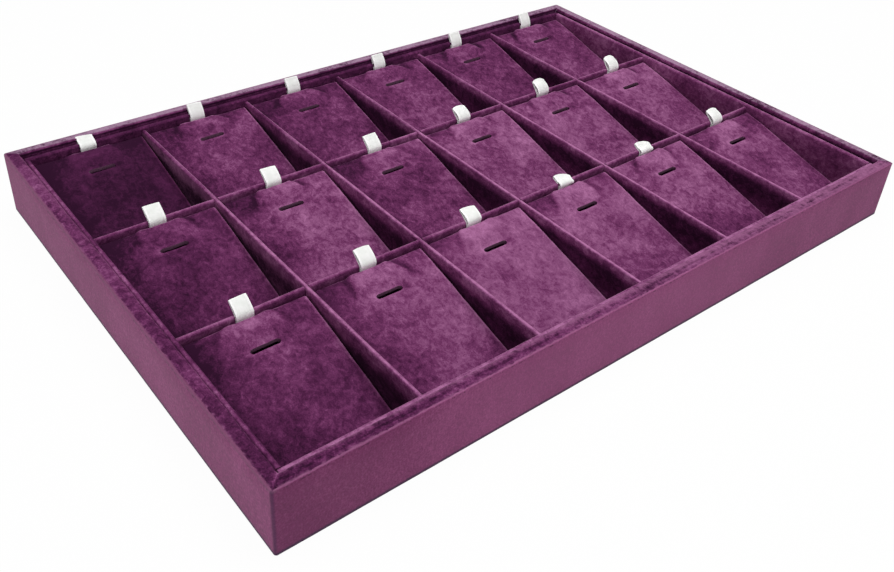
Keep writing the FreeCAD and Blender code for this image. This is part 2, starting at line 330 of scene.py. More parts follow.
def by_rim(height, far, near):
    """0 up to far below the rim's top, and 1 from near below it on."""
    return height.rise(tray_high.z - far, tray_high.z - near)


leatherette, place = new_material("plum_leatherette")
pebbles = place.node("ShaderNodeTexVoronoi", {"feature": "SMOOTH_F1"},
                     {"Vector": place, "Scale": 1 / LEATHER_GRAIN, "Smoothness": 0.7}, "Distance")
creases = place.noise(LEATHER_GRAIN * 2.5, detail=4, roughness=0.6, distortion=0.6)
cloudy = place.stretched(1, 1, 0.5).noise(LEATHER_CLOUD, detail=3)
streaks = place.stretched(1, 1, 0.4).noise(LEATHER_GRAIN * 1.3, detail=4, roughness=0.65)
tone = pebbles * 0.4 + creases * 0.4 + streaks * 0.5 + cloudy * 0.4 - 0.33
plum = tone.ramp((0.2, srgb(100, 38, 79)), (0.5, srgb(126, 54, 101)), (0.8, srgb(152, 78, 125)))
from_side, from_front = inset(place)
on_panel = from_front.rise(*PANEL_REACH)
# Painted shade and light on the front and rear panels: darker towards the left end and lighter near the
# middle.
painted_end_shade = place.part("X").rise(DARK_END, tray_low.x) * on_panel * 0.32
plum = painted_end_shade.mix(plum, srgb(84, 28, 66))
painted_middle_light = place.part("X").rise(*LIGHT_LEFT) * place.part("X").rise(*LIGHT_RIGHT) * on_panel * 0.22
plum = painted_middle_light.mix(plum, srgb(166, 92, 138))
height = place.part("Z") + (creases - 0.5) * RAGGED_UP
# Painted highlight: a pale line along the top edge of the front and rear panels; on the side panels a paler,
# greyer band just under the rounded edge, where it turns up to the light.
painted_edge_highlight = by_rim(height, *EDGE_HIGHLIGHT_BAND) * from_front.rise(*EDGE_REACH) * 0.35
plum = painted_edge_highlight.mix(plum, srgb(168, 112, 152))
painted_side_edge_light = by_rim(height, *SIDE_EDGE_LIGHT_BAND) * from_side.rise(*EDGE_REACH) * 0.8
plum = painted_side_edge_light.mix(plum, srgb(122, 74, 104))
# Painted shade on the turned-over lip, darker inwards towards and under the velvet's edge.
in_plan = from_side.least(from_front) + (creases - 0.5) * RAGGED_IN
on_lip = by_rim(height, *LIP_BAND)
plum = (in_plan.rise(*LIP_SHADE) * on_lip).mix(plum, srgb(104, 50, 85))
plum = (in_plan.rise(*LIP_DEEP_SHADE) * on_lip).mix(plum, srgb(76, 30, 63))
# Painted shade: dark dashes just under the rim, for small wrinkles in the turned edge.
under_rim = by_rim(place.part("Z"), *TICK_FOOT) * by_rim(place.part("Z"), *TICK_TOP)
dash_shade = creases.rise(0.52, 0.6) * under_rim * 0.7
plum = dash_shade.mix(plum, srgb(70, 28, 58))
# Painted shade: the vertical corners darkened, and a contact shadow along the foot of each wall.
corner_shade = from_side.most(from_front).rise(*CORNER_SHADE_REACH) * 0.6
painted_corner_foot_shade = corner_shade.most(height.rise(*FOOT_SHADE_BAND) * 0.85)
plum = painted_corner_foot_shade.mix(plum, srgb(58, 36, 66))
hide = pebbles * 0.6 + creases * 0.4
surface(leatherette, plum, {"Roughness": 0.48 + creases * 0.2, "Specular IOR Level": 0.16,
                            "Normal": hide.bump(LEATHER_DEPTH, 0.6)})
dress(cover, leatherette)
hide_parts("leather_wrap")
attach(cover, "tray")

# The rim lining: one velvet strip to each wall, glued over its top and down its inside and mitred in
# the corners. The pile stands a little proud of the leatherette and is rubbed into patches.
RIM_ROUND = 0.0007
RIM_OUTER_ROUND = 0.0004
RIM_STEP = 0.0013
RIM_CROSS_STEP = 0.0009
RIM_CROWN = 0.0003
RIM_FUZZ = 0.00012
FUZZ_WAVES = 500
PLUMP_WAVES = 70
PLUMP_REACH = 0.2
RIM_FRAY = 0.0015
NOISES_APART = (0, 31.7, 67.3)
RIM_PATCH = 0.003
RIM_DARK_BLUR = 0.0006
RIM_REGAIN = (0.0008, 0.0013)
FURROW_OUTER = (0.0018, 0.0024)
FURROW_INNER = (0.0036, 0.003)
FURROW_SPOT = 0.002
MITRE_RIDGE = 0.0005
MITRE_REACH = 0.001
MITRE_EASE = 0.004
FAR_RIDGE = 0.1
NAP_PATCH = 0.0042
NAP_STREAK = 0.0016
NAP_CLOUD = 0.022
PILE = 0.0005
PILE_DEPTH = 0.0002
PLUM_NAP = (srgb(46, 15, 41), srgb(82, 33, 71), srgb(112, 53, 97), srgb(174, 112, 157))


def velvet(name, sheen_paint, lie_and_shading, patch=NAP_PATCH, ruffled=1.0, fray=None):
    """Short-pile velvet: streaked patches of deep and bright pile and a fine grain, with painted light and
    shade added to its tone, and a painted sheen where it is seen edge on.
    """
    material, place = new_material(name)
    swirl = place.noise(patch, detail=4, roughness=0.58, distortion=0.9)
    brushed = place.stretched(1, 0.6, 1).noise(NAP_STREAK, detail=4, roughness=0.6, distortion=0.8)
    cloudy = place.noise(NAP_CLOUD, detail=2)
    pile = place.noise(PILE, detail=2)
    waves = swirl * 0.48 + brushed * 0.38 + cloudy * 0.42 + pile * 0.28 - 0.78
    if ruffled == "painted":
        ruffled = place.painted("ruffled")
    nap_and_shading = waves * ruffled + 0.5 + lie_and_shading(place)
    deep, shade, face, bright = PLUM_NAP
    colour = nap_and_shading.ramp((0.20, deep), (0.37, shade), (0.50, face), (0.80, bright))
    # Painted sheen: the colour turns pale where the velvet is seen edge on.
    edge_on = place.node("ShaderNodeLayerWeight", None, {"Blend": 0.5}, "Facing")
    painted_sheen = edge_on.rise(sheen_paint["start"], sheen_paint["full"]) * nap_and_shading.rise(0.2, 0.5) * sheen_paint["share"]
    colour = painted_sheen.mix(colour, sheen_paint["colour"])
    if fray is not None:
        colour = fray(place, swirl).mix(colour, srgb(142, 88, 124))
    fibres = pile * 0.6 + brushed * 0.4
    return surface(material, colour, {"Roughness": 0.95, "Specular IOR Level": 0.06, "Sheen Weight": 0.06,
                                      "Sheen Roughness": 0.4, "Sheen Tint": srgb(214, 150, 198),
                                      "Normal": fibres.bump(PILE_DEPTH, 0.6)})


def rim_lie_and_shading(axis, level, inside, light_at, dark_at, fall, dark_from=0.0, regain=0, furrow=0):
    """Painted light and shade on the lining (a highlight on the mitre ridges, shade down the inside of the
    walls that lifts again lower down, spots of shade along the front strip) and a tone that darkens towards
    one end.
    """
    def lie_and_shading(place):
        down = tray_high.z - place.part("Z")
        dark = down.rise(dark_from, dark_from + RIM_DARK_BLUR) * inside - down.rise(*RIM_REGAIN) * regain
        to_end = place.part(axis).rise(light_at, dark_at)
        from_front = inset(place)[1]
        middle = from_front.rise(*FURROW_OUTER) * from_front.rise(*FURROW_INNER)
        # Painted shade in spots along the middle of the front strip, for a shallow furrow in its pile.
        painted_patches = middle * place.stretched(0.4, 1, 1).noise(FURROW_SPOT, detail=3).rise(0.36, 0.62)
        return level + place.painted("ridge") * 0.4 - dark - to_end * fall - painted_patches * furrow
    return lie_and_shading


def rim_fray(place, swirl):
    """Along its outer edge the pile is thin, and the leatherette's colour comes through in spots."""
    return (place.painted("outer") + (swirl - 0.5) * 1.2).rise(0.6, 1.1) * 0.7


def within(value):
    """A number kept between 0 and 1."""
    return min(1, max(0, value))


def wander(spot):
    """A small vector that changes smoothly from place to place, and is the same on each run."""
    return Vector([noise.noise(spot + Vector((0, 0, apart))) for apart in NOISES_APART])


# Painted sheen and painted light and shade, strip by strip: the far strips carry much more sheen than the
# near ones.
far_sheen_paint = {"colour": srgb(168, 136, 162), "start": 0.28, "full": 0.52, "share": 0.85}
rim_sheen_paints = {"front": {"colour": srgb(164, 108, 145), "start": 0.28, "full": 0.54, "share": 0.5},
              "left": {"colour": srgb(158, 102, 138), "start": 0.4, "full": 0.95, "share": 0.4},
              "right": far_sheen_paint, "rear": far_sheen_paint}
rim_lies_and_shading = {"front": rim_lie_and_shading("X", level=-0.03, inside=0.16, light_at=-0.05, dark_at=-0.15, fall=0.1,
                             furrow=0.13),
            "left": rim_lie_and_shading("Y", level=-0.06, inside=0.16, light_at=0.06, dark_at=-0.11, fall=0.06),
            "right": rim_lie_and_shading("Y", level=-0.06, inside=0.2, light_at=0.02, dark_at=-0.06, fall=0.06,
                             dark_from=0.001),
            "rear": rim_lie_and_shading("X", level=-0.06, inside=0.3, light_at=-0.11, dark_at=-0.19, fall=0.03,
                            regain=0.2)}
rim_bulge = {"front": 0.0003, "left": 0.0006, "right": 0, "rear": 0}
rim_spread = {"front": 0.0014, "right": 0.0013, "rear": 0.0013, "left": 0.0012}
rim_ends = {0: {-1: "left", 1: "right"}, 1: {-1: "front", 1: "rear"}}
for side, axis in (("front", 0), ("rear", 0), ("left", 1), ("right", 1)):
    node = f"rim_lining_{side}"
    low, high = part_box(node)
    across = 1 - axis
    outward = math.copysign(1, (low + high)[across])
    inner = min(abs(low[across]), abs(high[across]))
    outer = max(abs(low[across]), abs(high[across]))
    strip = solid_copy(node, f"rim_strip_{side}")
    on_top = high.z - HAIR
    round_edges(strip, lambda a, b: min(a.z, b.z) > on_top
                and max(abs(a[across]), abs(b[across])) < inner + HAIR, RIM_ROUND, 4)
    round_edges(strip, lambda a, b: min(a.z, b.z) > on_top
                and min(abs(a[across]), abs(b[across])) > outer - HAIR, RIM_OUTER_ROUND, 2)
    slice_across(strip, axis, evenly(low[axis], high[axis], RIM_STEP))
    slice_across(strip, across, [outward * at for at in evenly(inner + RIM_ROUND, outer, RIM_CROSS_STEP)])
    outer_layer = strip.data.attributes.new("outer", "FLOAT", "POINT")
    ridge_layer = strip.data.attributes.new("ridge", "FLOAT", "POINT")
    for vertex in strip.data.vertices:
        spot = vertex.co
        if spot.z < high.z - 2 * RIM_ROUND:
            continue
        share = within((abs(spot[across]) - inner) / (outer - inner))
        end = int(math.copysign(1, spot[axis]))
        to_mitre = tray_high[axis] - abs(spot[axis]) - (tray_high[across] - abs(spot[across]))
        by_mitre = max(0, 1 - to_mitre / MITRE_EASE)
        ridge = max(0, 1 - to_mitre / MITRE_REACH) * (1 - share)
        outer_layer.data[vertex.index].value = max(0, 1 - (1 - share) * (outer - inner) / RIM_FRAY)
        # The ridge value is a painted highlight along each mitre ridge, faint on the far corners.
        ridge_layer.data[vertex.index].value = ridge if max(spot.x, spot.y) < 0 else ridge * FAR_RIDGE
        fuzz = wander(spot * FUZZ_WAVES) * RIM_FUZZ * (1 - by_mitre)
        spot.z += RIM_CROWN * math.sin(math.pi * share) + MITRE_RIDGE * ridge + fuzz.z
        spot[across] += outward * (rim_spread[side] * share ** 3 + fuzz.x)
        spot[axis] += end * rim_spread[rim_ends[axis][end]] * share ** 3 * by_mitre
        plump = 0.5 + 0.5 * noise.noise(spot * PLUMP_WAVES)
        spot[across] -= outward * rim_bulge[side] * plump * max(0, 1 - share / PLUMP_REACH) * (1 - by_mitre)
    smooth(strip, 50)
    dress(strip, velvet(f"rim_velvet_{side}", rim_sheen_paints[side], rim_lies_and_shading[side], RIM_PATCH, fray=rim_fray))
    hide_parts(node)
    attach(strip, "tray")

# The insert's floor and frame: a liner and four boards wrapped in velvet, dropped into the shell as
# one open crate. The wrap is drawn tight over each board's top, so the fold there is round, and it carries a
# painted highlight.
WRAP_ROUND = 0.00092
BOARD_STEP = 0.009
BOARD_RISE_STEP = 0.006
BOARD_BOW = 0.0003
BOW_WAVES = 22
BOW_RISE = 0.5
CREST = 0.00015
FOLD_CLOUD = 0.02
FOLD_WANDER = 0.002
HIGHLIGHT_SPOT = 0.003
REAR_ROW = (0.03, 0.05)
REAR_END = (0.06, 0.112)
REAR_END_DARK = 0.16
WELL_LEVEL = 0.02
WELL_DARK = (0.0014, 0.0048)
WELL_DEPTH = 0.27
WELL_LIFT = 0.36
BOARD_RUFFLED = 0.9

frame_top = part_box("insert_front")[1].z
floor_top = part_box("insert_floor")[1].z
divider_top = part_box("column_divider_1")[1].z


def well_lie_and_shading(top, level, crest_highlight, dark_from, dark_to, depth, low_lift, rear_highlight_kept=1.0):
    """Painted light and shade on a board: a highlight in spots along its top fold, shade below the fold and
    towards the rear end, lighter again towards the floor.
    """
    def lie_and_shading(place):
        below = top + (place.noise(FOLD_CLOUD, detail=2) - 0.5) * FOLD_WANDER - place.part("Z")
        rear_fade = 1 - rear_highlight_kept
        kept = 1 - place.part("Y").rise(*REAR_ROW) * rear_fade
        # Painted highlight in spots along the top fold, fading towards the rear row on some boards.
        light = place.painted("crest") * (place.noise(HIGHLIGHT_SPOT, detail=2) * 2 - 0.1) * kept * crest_highlight
        # Painted shade below the fold and at the rear end; lighter again towards the floor.
        rear_dark = place.part("Y").rise(*REAR_END) * (REAR_END_DARK * rear_fade)
        dark = below.rise(dark_from, dark_to) * depth + rear_dark
        return level + light - dark + below.rise(dark_to, top) * low_lift
    return lie_and_shading


# Painted sheen and painted light and shade, board by board: the left and rear boards darker with little
# sheen, the right board lighter, the front and right ones with the stronger sheen.
board_sheen_paint = {"colour": srgb(192, 136, 174), "start": 0.55, "full": 0.9, "share": 0.9}
dull_sheen_paint = {"colour": srgb(150, 96, 134), "start": 0.6, "full": 0.95, "share": 0.25}
frame_sheen_paints = {"front": board_sheen_paint, "left": dull_sheen_paint, "rear": dull_sheen_paint, "right": board_sheen_paint}
gap_fill = {"front": 0.0007, "left": 0.0004, "rear": 0.0007, "right": 0.0007}
frame_lies_and_shading = {"front": well_lie_and_shading(frame_top, level=-0.02, crest_highlight=0.22, dark_from=0.0014, dark_to=0.008, depth=0.1,
                                low_lift=0.05),
              "left": well_lie_and_shading(frame_top, level=-0.14, crest_highlight=0.15, dark_from=0.0014, dark_to=0.008, depth=0.1,
                               low_lift=0.05),
              "rear": well_lie_and_shading(frame_top, level=-0.15, crest_highlight=0, dark_from=0.0006, dark_to=0.0016, depth=0,
                               low_lift=0),
              "right": well_lie_and_shading(frame_top, level=0.02, crest_highlight=0.1, dark_from=0.0014, dark_to=0.01, depth=0,
                                low_lift=0.05)}


def covered_board(node, axis, material, fill=0.0):
    """A velvet-wrapped board: its solid with round top edges, bowed, and pile that fills a gap behind it."""
    low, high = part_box(node)
    across = 1 - axis
    piece = solid_copy(node, f"{node}_wrapped")
    round_edges(piece, lambda a, b: min(a.z, b.z) > high.z - HAIR and abs(a[across] - b[across]) < HAIR,
                WRAP_ROUND, 4)
    slice_across(piece, axis, evenly(low[axis], high[axis], BOARD_STEP))
    slice_across(piece, 2, evenly(low.z, high.z - WRAP_ROUND, BOARD_RISE_STEP))
    crest = piece.data.attributes.new("crest", "FLOAT", "POINT")
    for vertex in piece.data.vertices:
        spot = vertex.co
        crest.data[vertex.index].value = max(0, 1 - (high.z - spot.z) / CREST)
        height = (spot.z - floor_top) / (frame_top - floor_top)
        sway = wander(Vector((spot.x, spot.y, 0)) * BOW_WAVES)
        spot.x += BOARD_BOW * height * sway.x
        spot.y += BOARD_BOW * height * sway.y
        spot.z += BOARD_BOW * BOW_RISE * height * sway.z
        if fill and abs(spot[across]) > (abs(low[across]) + abs(high[across])) / 2:
            spot[across] += math.copysign(fill * height, spot[across])
    smooth(piece, 50)
    dress(piece, material)
    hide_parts(node)
    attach(piece, "tray")


floor_lie_and_shading = well_lie_and_shading(divider_top, WELL_LEVEL, 0, *WELL_DARK, WELL_DEPTH, WELL_LIFT)
dress(frame["nodes"]["insert_floor"], velvet("floor_velvet", board_sheen_paint, floor_lie_and_shading, ruffled=BOARD_RUFFLED))
for side, axis in (("front", 0), ("rear", 0), ("left", 1), ("right", 1)):
    frame_velvet = velvet(f"frame_velvet_{side}", frame_sheen_paints[side], frame_lies_and_shading[side], ruffled=BOARD_RUFFLED)
    covered_board(f"insert_{side}", axis, frame_velvet, gap_fill[side])

# The dividers: velvet-wrapped boards that cross in half-deep notches, the column boards running
# through on top, so each row board is cut off in short lengths where it shows.
ROW_LEVEL = -0.02
ROW_CREST_HIGHLIGHT = 0.13
ROW_DEPTH = 0.05
ROW_LIFT = 0.1


# Each column divider is a lit or shaded copy of one velvet, with its own painted crest highlight and painted
# shade below its fold; the row dividers share one.
def column_lie_and_shading(crest_highlight, dark_from, dark_to, rear_highlight_kept):
    return well_lie_and_shading(divider_top, WELL_LEVEL, crest_highlight, dark_from, dark_to, WELL_DEPTH, WELL_LIFT, rear_highlight_kept)


row_lie_and_shading = well_lie_and_shading(divider_top, ROW_LEVEL, ROW_CREST_HIGHLIGHT, *WELL_DARK, ROW_DEPTH, ROW_LIFT)
divider_lies_and_shading = {"column_divider_1": column_lie_and_shading(crest_highlight=0.25, dark_from=0.003, dark_to=0.0095, rear_highlight_kept=0.2),
                "column_divider_2": column_lie_and_shading(crest_highlight=0.27, dark_from=0.0025, dark_to=0.008, rear_highlight_kept=0.25),
                "column_divider_3": column_lie_and_shading(crest_highlight=0.31, dark_from=0.0018, dark_to=0.0055, rear_highlight_kept=0.25),
                "column_divider_4": column_lie_and_shading(crest_highlight=0.3, dark_from=0.0014, dark_to=0.0048, rear_highlight_kept=0.3),
                "column_divider_5": column_lie_and_shading(crest_highlight=0.23, dark_from=0.0014, dark_to=0.0048, rear_highlight_kept=0.5),
                "row_divider_1": row_lie_and_shading, "row_divider_2": row_lie_and_shading}
for name, lie_and_shading in divider_lies_and_shading.items():
    axis = 1 if name.startswith("column") else 0
    covered_board(name, axis, velvet(f"{name}_velvet", board_sheen_paint, lie_and_shading, ruffled=BOARD_RUFFLED))

# The sloped pads: a card folded into a toe, a ramp and a rear leg, with thin wadding and velvet glued
# over it. Each has a slot for a pendant's loop and two short cuts by its upper corners for the chain.
PAD_TOE = 0.0042
PAD_THICK = 0.002
PAD_FOLD = 0.0011
PAD_GRID = 0.0008
PAD_EDGE = 0.0009
PAD_LOFT = 0.0006
PAD_PUSH = 0.0006
PAD_EDGE_CUTS = (0.00025, 0.0006)
PUSH_LONG = 0.006
RIBBON_ROOM = 0.0045
RIBBON_EASE = 0.003
SLOT_LONG = 0.0125
SLOT_WIDE = 0.0023
SLOT_SETBACK = 0.0142
SLOT_TAPER = 0.0013
SLOT_PINCH = 0.6
SLOT_END_CUTS = (0, 0.0004)
SLOT_LIP = 0.0011
SLOT_LIP_RISE = 0.0002
SLOT_REACH = 0.002
STEEP = 0.6
GLUED_EDGE = 0.0005
HELD_LEG = 0.0015
HELD_LIP = 0.85
WADDING_PRESSURE = 22.0
WADDING_SLACK = -0.0008
POINT_MASS = 2e-5
SETTLE_FRAMES = 20
MOST_PUFF = 0.0011
CUT_START = 0.010
CUT_END = 0.0142
CUT_LONG = 0.0095
CUT_WIDE = 0.0013
CUT_DEEP = 0.0007
CUT_START_STRAY = 0.0016
CUT_END_STRAY = 0.002
CUT_LONG_STRAY = (-0.003, 0.002)
CUT_DEPTHS = (0.3, 1.0)
CUT_CURVE = 0.8
CUT_FADE_FROM = 1.9
CUT_FADE_RATE = 1.5
CUT_INNER_FLANK = 0.9
CUT_OUTER_FLANK = 1.6
CUT_OVER_FOLD = 0.001
TONGUE_RISE = 0.0002
TONGUE_EDGE = 1.4
MOST_EXPONENT = 40
FLAP_SAG = 0.0005
FLAP_LONG = 0.016
FLAP_BEHIND = 0.3
FLAP_FROM = 0.008
FLAP_EASE = 0.006
PAD_UNEVEN = 0.00022
PAD_WAVES = 80
PAD_RIPPLE = 0.0001
RIPPLE_WAVES = 260
FLAT_BY_FOLD = 0.006
TURNED_FIBRE = 0.0004
TURNED_DEPTH = 0.0001
CUT_DARK = 0.26
TONGUE_LIGHT = 0.06
LIP_LIGHT = 0.06
SLOT_SHADING_AT = 0.0072
SLOT_SHADING_LONG = 0.0026
SLOT_SHADING_WIDE = 0.0018
SLOT_LEFT_LIGHT = 0.08
SLOT_RIGHT_SHADE = 0.14
EDGE_LIGHT = 0.3
EDGE_LIGHT_WIDE = 1.6
TOE_SHARE = 0.7
CORNER_LONG = 0.014
BY_DIVIDER = 0.022
BY_WALL = 0.03
BY_WALL_DARK = 0.06
CLOSE_BY_WALL = 0.013
CLOSE_DARK = 0.2

pad_low, pad_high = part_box("pad_a1")
pad_width = pad_high.x - pad_low.x
pad_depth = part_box("ribbon_a1")[0].y - pad_low.y
pad_rise = pad_high.z - pad_low.z + PAD_LOFT
pad_slope = math.atan2(pad_rise - PAD_TOE, pad_depth)


def along(runs, heading, run):
    """Where a path of straight and bent runs has got to: its place and heading in the YZ plane."""
    at = Vector((0, 0))
    for length, turn in runs:
        step = min(run, length)
        turned = heading + turn * step / length
        if turn:
            radius = length / turn
            chord = Vector((math.sin(turned) - math.sin(heading), math.cos(heading) - math.cos(turned)))
            at += radius * chord
        else:
            at += step * Vector((math.cos(heading), math.sin(heading)))
        heading = turned
        run -= step
        if run <= 0:
            break
    return at, heading


toe_turn = math.pi / 2 - pad_slope
fold_turn = math.pi / 2 + pad_slope
toe_tangent = PAD_FOLD * math.tan(toe_turn / 2)
fold_tangent = PAD_FOLD * math.tan(fold_turn / 2)
ramp_start = PAD_TOE - toe_tangent + PAD_FOLD * toe_turn
ramp_run = math.hypot(pad_depth, pad_rise - PAD_TOE) - toe_tangent - fold_tangent
ramp_end = ramp_start + ramp_run
pad_runs = [(PAD_TOE - toe_tangent, 0), (PAD_FOLD * toe_turn, -toe_turn), (ramp_run, 0),
            (PAD_FOLD * fold_turn, -fold_turn), (pad_rise - fold_tangent, 0)]
pad_run = sum(length for length, turn in pad_runs)
rear_edge = ramp_end + fold_tangent


def flat_sheet(name, width, length, step):
    """A flat sheet in small squares, from 0 along +Y, to be folded afterwards."""
    bpy.ops.object.select_all(action="DESELECT")
    bpy.ops.mesh.primitive_grid_add(x_subdivisions=round(width / step), y_subdivisions=round(length / step),
                                    size=1, location=(0, length / 2, 0))
    sheet = bpy.context.active_object
    sheet.name = name
    sheet.scale = (width, length, 1)
    bpy.ops.object.transform_apply(location=True, rotation=True, scale=True)
    return sheet


slot_run = rear_edge - SLOT_SETBACK / math.cos(pad_slope)
pad = flat_sheet("pad_pattern", pad_width, pad_run, PAD_GRID)
slice_across(pad, 0, [side * (pad_width / 2 - cut) for side in (-1, 1) for cut in PAD_EDGE_CUTS])
slice_across(pad, 0, [side * (SLOT_LONG / 2 - cut) for side in (-1, 1) for cut in SLOT_END_CUTS])
slice_across(pad, 1, [slot_run + offset * SLOT_WIDE for offset in (-0.5, -0.25, 0, 0.25, 0.5)])
work_on(pad)
bpy.ops.object.mode_set(mode="EDIT")
bpy.ops.mesh.select_mode(type="FACE")
bpy.ops.mesh.select_all(action="DESELECT")
bpy.ops.object.mode_set(mode="OBJECT")
for face in pad.data.polygons:
    face.select = abs(face.center.x) < SLOT_LONG / 2 and abs(face.center.y - slot_run) < SLOT_WIDE / 2
bpy.ops.object.mode_set(mode="EDIT")
bpy.ops.mesh.delete(type="FACE")
bpy.ops.object.mode_set(mode="OBJECT")

pad_points = []
slot_shading = []
held_points = []
for vertex in pad.data.vertices:
    x, run = vertex.co.x, vertex.co.y
    end_round = max(0, abs(x) - (SLOT_LONG / 2 - SLOT_TAPER)) / SLOT_TAPER
    if abs(run - slot_run) <= SLOT_WIDE / 2 + HAIR and abs(x) <= SLOT_LONG / 2 + HAIR:
        run = slot_run + (run - slot_run) * (1 - SLOT_PINCH * min(1, end_round) ** 2)
    roll = max(0, PAD_EDGE - (pad_width / 2 - abs(x)))
    drop = PAD_EDGE - math.sqrt(PAD_EDGE ** 2 - roll ** 2)
    lip_x = max(0, abs(x) - SLOT_LONG / 2)
    lip_y = max(0, abs(run - slot_run) - SLOT_WIDE / 2)
    lip = math.exp(-(lip_x ** 2 + lip_y ** 2) / SLOT_LIP ** 2)
    height = SLOT_LIP_RISE * lip - drop
    at, heading = along(pad_runs, math.pi / 2, run)
    beside_ribbon = within((abs(x) - RIBBON_ROOM) / RIBBON_EASE)
    push = PAD_PUSH * beside_ribbon * within(1 - (rear_edge - run) / PUSH_LONG)
    vertex.co = Vector((x, at.x + push - math.sin(heading) * height, at.y + math.cos(heading) * height))
    pad_points.append((x, run, heading))
    # Painted light and shade round the slot: a highlight on its raised lip, a lighter patch by its left end
    # and shade by its right end.
    painted_patches = [math.exp(-((x - end * SLOT_SHADING_AT) / SLOT_SHADING_LONG) ** 2 - ((run - slot_run) / SLOT_SHADING_WIDE) ** 2)
               for end in (-1, 1)]
    slot_shading.append(LIP_LIGHT * lip + SLOT_LEFT_LIGHT * painted_patches[0] - SLOT_RIGHT_SHADE * painted_patches[1])
    glued = abs(x) < RIBBON_ROOM and run > rear_edge - GLUED_EDGE
    off_ramp = run < ramp_start or run > rear_edge + HELD_LEG
    if roll > 0 or off_ramp or glued or lip > HELD_LIP:
        held_points.append(vertex.index)
held = pad.vertex_groups.new(name="held")
held.add(held_points, 1.0, "REPLACE")

flat_shape = [vertex.co.copy() for vertex in pad.data.vertices]
work_on(pad)
wadding = pad.modifiers.new("wadding", "CLOTH")
wadding.settings.mass = POINT_MASS
wadding.settings.vertex_group_mass = held.name
wadding.settings.shrink_min = WADDING_SLACK
wadding.settings.use_pressure = True
wadding.settings.uniform_pressure_force = WADDING_PRESSURE
wadding.settings.effector_weights.gravity = 0
wadding.collision_settings.use_collision = False
wadding.point_cache.frame_end = SETTLE_FRAMES
for step in range(1, SETTLE_FRAMES + 1):
    bpy.context.scene.frame_set(step)
bpy.ops.object.modifier_apply(modifier=wadding.name)
bpy.context.scene.frame_set(1)
for vertex, flat in zip(pad.data.vertices, flat_shape):
    moved = vertex.co - flat
    if moved.length > MOST_PUFF:
        vertex.co = flat + moved.normalized() * MOST_PUFF
work_on(pad)
thicken = pad.modifiers.new("thickness", "SOLIDIFY")
thicken.thickness = PAD_THICK
thicken.offset = -1
bpy.ops.object.modifier_apply(modifier=thicken.name)
smooth(pad, 60)
slot_middle = along(pad_runs, math.pi / 2, slot_run)[0]
slot_walls = [face.index for face in pad.data.polygons if abs(face.center.x) < SLOT_LONG / 2 + HAIR
              and abs(face.center.y - slot_middle.x) < SLOT_REACH and abs(face.normal.z) < STEEP]

turned_velvet, place = new_material("turned_velvet")
fibre = place.noise(TURNED_FIBRE, detail=3)
mauve = fibre.ramp((0.3, srgb(112, 70, 100)), (0.7, srgb(160, 112, 146)))
surface(turned_velvet, mauve, {"Roughness": 0.9, "Normal": fibre.bump(TURNED_DEPTH, 0.4)})


def chain_cuts(x, from_rear, cuts):
    """How deep in a chain cut a point lies, and how far up on the tongue between the cuts, both 0 to 1."""
    sunk = 0
    tongue = 1
    for side, (start, end, long, depth) in cuts.items():
        past = (side * x - start - (end - start) * within(from_rear / long) ** CUT_CURVE) / CUT_WIDE
        fade = within(CUT_FADE_FROM - CUT_FADE_RATE * from_rear / long)
        fade *= within(1 + from_rear / CUT_OVER_FOLD)
        flank = CUT_INNER_FLANK if past < 0 else CUT_OUTER_FLANK
        sunk = max(sunk, depth * fade * math.exp(-(past / flank) ** 2))
        tongue *= fade / (1 + math.exp(min(MOST_EXPONENT, TONGUE_EDGE * past)))
    return sunk, tongue


def pad_lie_and_shading(place):
    """Painted light and shade on the pads, set point by point on each, with shade in the cuts and along the
    tray's left wall.
    """
    brushed = place.painted("brushed") - place.painted("crease") * CUT_DARK
    from_wall = place.part("X") - pad_low.x
    by_wall = from_wall.rise(BY_WALL, 0.0) * BY_WALL_DARK
    return brushed - by_wall - from_wall.rise(CLOSE_BY_WALL, 0.0) * CLOSE_DARK


pad_sheen_paint = {"colour": srgb(186, 124, 168), "start": 0.6, "full": 0.95, "share": 0.6}
pad_velvet = velvet("pad_velvet", pad_sheen_paint, pad_lie_and_shading, ruffled="painted")
# Each pad's settings: level lightens or darkens it all over; toe, left and corners mostly paint shade towards
# the toe, along the divider on its left and by its rear corners (a1 is painted lighter on its left, against
# the wall's painted shade).
usual_nap_and_shading = {"level": 0, "toe": 0, "left": 0, "corners": (-0.08, -0.08), "ruffled": 1, "cuts": 1}
pad_naps_and_shading = {"a1": {"level": -0.25, "left": 0.17, "ruffled": 0.6, "cuts": 0.25},
            "a2": {"level": -0.03, "left": -0.12},
            "a3": {"level": -0.07, "left": -0.06},
            "a4": {"level": -0.03},
            "a5": {"level": -0.05},
            "a6": {"level": -0.03},
            "b1": {"level": -0.07, "toe": -0.11, "ruffled": 0.9},
            "b2": {"level": 0.05, "left": -0.18, "corners": (-0.2, -0.08)},
            "b3": {"level": -0.02, "left": -0.13, "corners": (-0.08, 0)},
            "b4": {"level": 0.09, "toe": -0.14, "left": -0.06, "corners": (-0.18, 0.02)},
            "b5": {"level": 0.03, "toe": 0.06, "corners": (0.04, 0.04)},
            "b6": {"level": 0.08, "toe": -0.08, "corners": (-0.08, 0.02)},
            "c1": {"level": -0.03, "toe": -0.08, "corners": (-0.06, -0.04), "ruffled": 0.9, "cuts": 0.5},
            "c2": {"level": 0.065, "toe": -0.07, "left": -0.16, "corners": (-0.14, -0.13), "ruffled": 0.9},
            "c3": {"level": 0.11, "toe": -0.02, "left": -0.08, "corners": (-0.16, 0.02), "ruffled": 0.8},
            "c4": {"level": 0.1, "toe": -0.12, "left": -0.1, "corners": (-0.16, -0.18), "ruffled": 0.9},
            "c5": {"level": 0.08, "toe": -0.16, "corners": (-0.02, 0.02)},
            "c6": {"level": 0.02, "left": -0.06, "corners": (0.02, -0.08)}}
units = sorted(name[len("pad_unit_"):] for name in frame["bodies"] if name.startswith("pad_unit_"))
